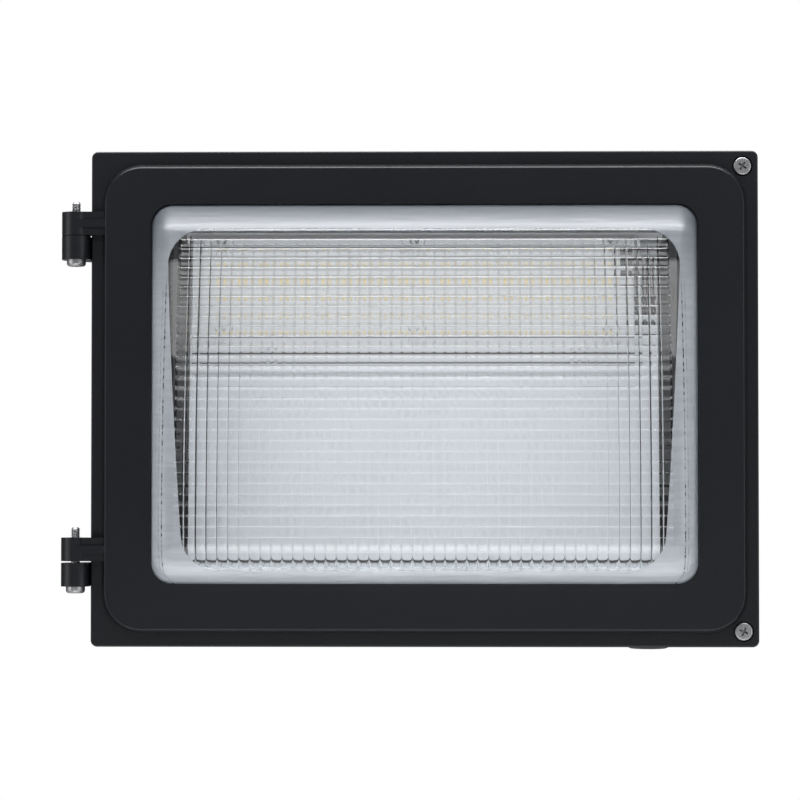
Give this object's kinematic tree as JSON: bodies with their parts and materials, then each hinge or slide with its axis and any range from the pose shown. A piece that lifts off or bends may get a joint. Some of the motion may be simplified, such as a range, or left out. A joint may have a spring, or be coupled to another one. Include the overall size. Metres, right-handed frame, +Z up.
{
  "type": "wall pack light",
  "caption": "Outdoor LED wall pack light: deep charcoal back box, side-hinged door with captive screws and a clear prismatic lens over a tilted LED board.",
  "frame": {"origin": "middle of the threaded rear cable entry, in the plane of the wall", "axes": "+X to the right as seen by someone facing the light, +Y into the wall, +Z up, so the lens faces -Y"},
  "size_m": [0.3135, 0.1615, 0.2266],
  "materials": {
    "charcoal_coat": "die-cast aluminium with a fine-textured charcoal powder coat",
    "prismatic_glass": "clear pressed glass with prismatic flutes",
    "seal_rubber": "dark grey silicone rubber",
    "screw_steel": "plain stainless steel",
    "retainer_nylon": "natural nylon",
    "reflector_white": "steel sheet with a gloss white coat",
    "plate_white": "aluminium sheet with a white coat",
    "pad_grey": "heat-conducting silicone pad",
    "board_white": "aluminium-core circuit board with a white mask",
    "led_phosphor": "yellow phosphor over each emitter",
    "connector_plastic": "moulded black plastic",
    "driver_case": "light grey potted plastic case",
    "terminal_brass": "plain brass",
    "lead_red": "red insulation",
    "lead_black": "black insulation",
    "lead_white": "white insulation",
    "lead_green": "green insulation"
  },
  "bodies": {
    "housing": {"back_housing": "charcoal_coat", "entry_plug": "charcoal_coat", "entry_plug_seal": "seal_rubber", "lead_grommet": "seal_rubber", "tray_screws": "screw_steel", "led_plate_screws": "screw_steel", "board_screws": "screw_steel", "driver_screws": "screw_steel", "terminal_fixings": "screw_steel", "ground_screw": "screw_steel", "reflector_tray": "reflector_white", "led_plate": "plate_white", "thermal_pad": "pad_grey", "led_board": "board_white", "led_chips": "led_phosphor", "led_connector": "connector_plastic", "led_driver": "driver_case", "terminal_block": "connector_plastic", "terminal_screws": "terminal_brass", "ground_lug": "terminal_brass", "led_lead_positive": "lead_red", "led_lead_negative": "lead_black", "supply_lead_line": "lead_black", "supply_lead_neutral": "lead_white", "ground_lead": "lead_green"},
    "door": {"door_frame": "charcoal_coat", "lens": "prismatic_glass", "lens_gasket": "seal_rubber", "lens_clips": "screw_steel", "lens_clip_screws": "screw_steel", "door_gasket": "seal_rubber", "hinge_screws": "screw_steel", "screw_retainers": "retainer_nylon"},
    "upper_seal": {"screw_seal_upper": "seal_rubber"},
    "upper_screw": {"captive_screw_upper": "screw_steel"},
    "lower_seal": {"screw_seal_lower": "seal_rubber"},
    "lower_screw": {"captive_screw_lower": "screw_steel"}
  },
  "joints": [
    {"name": "door_hinge", "type": "hinge", "parent": "housing", "child": "door", "pos_m": [-0.157, -0.103, 0], "axis": [0, 0, -1], "range_deg": [0, 180]},
    {"name": "upper_screw_travel", "type": "slide", "parent": "door", "child": "upper_seal", "axis": [0, -1, 0], "range_m": [0, 0.007]},
    {"name": "upper_screw_turn", "type": "hinge", "parent": "upper_seal", "child": "upper_screw", "pos_m": [0.143, -0.1, 0.1045], "axis": [0, -1, 0], "range_deg": [0, 3600]},
    {"name": "lower_screw_travel", "type": "slide", "parent": "door", "child": "lower_seal", "axis": [0, -1, 0], "range_m": [0, 0.007]},
    {"name": "lower_screw_turn", "type": "hinge", "parent": "lower_seal", "child": "lower_screw", "pos_m": [0.143, -0.1, -0.1045], "axis": [0, -1, 0], "range_deg": [0, 3600]}
  ],
  "couplings": [
    {"joint": "upper_screw_turn", "follows": "upper_screw_travel", "rad_per_m": 8976},
    {"joint": "lower_screw_turn", "follows": "lower_screw_travel", "rad_per_m": 8976}
  ]
}
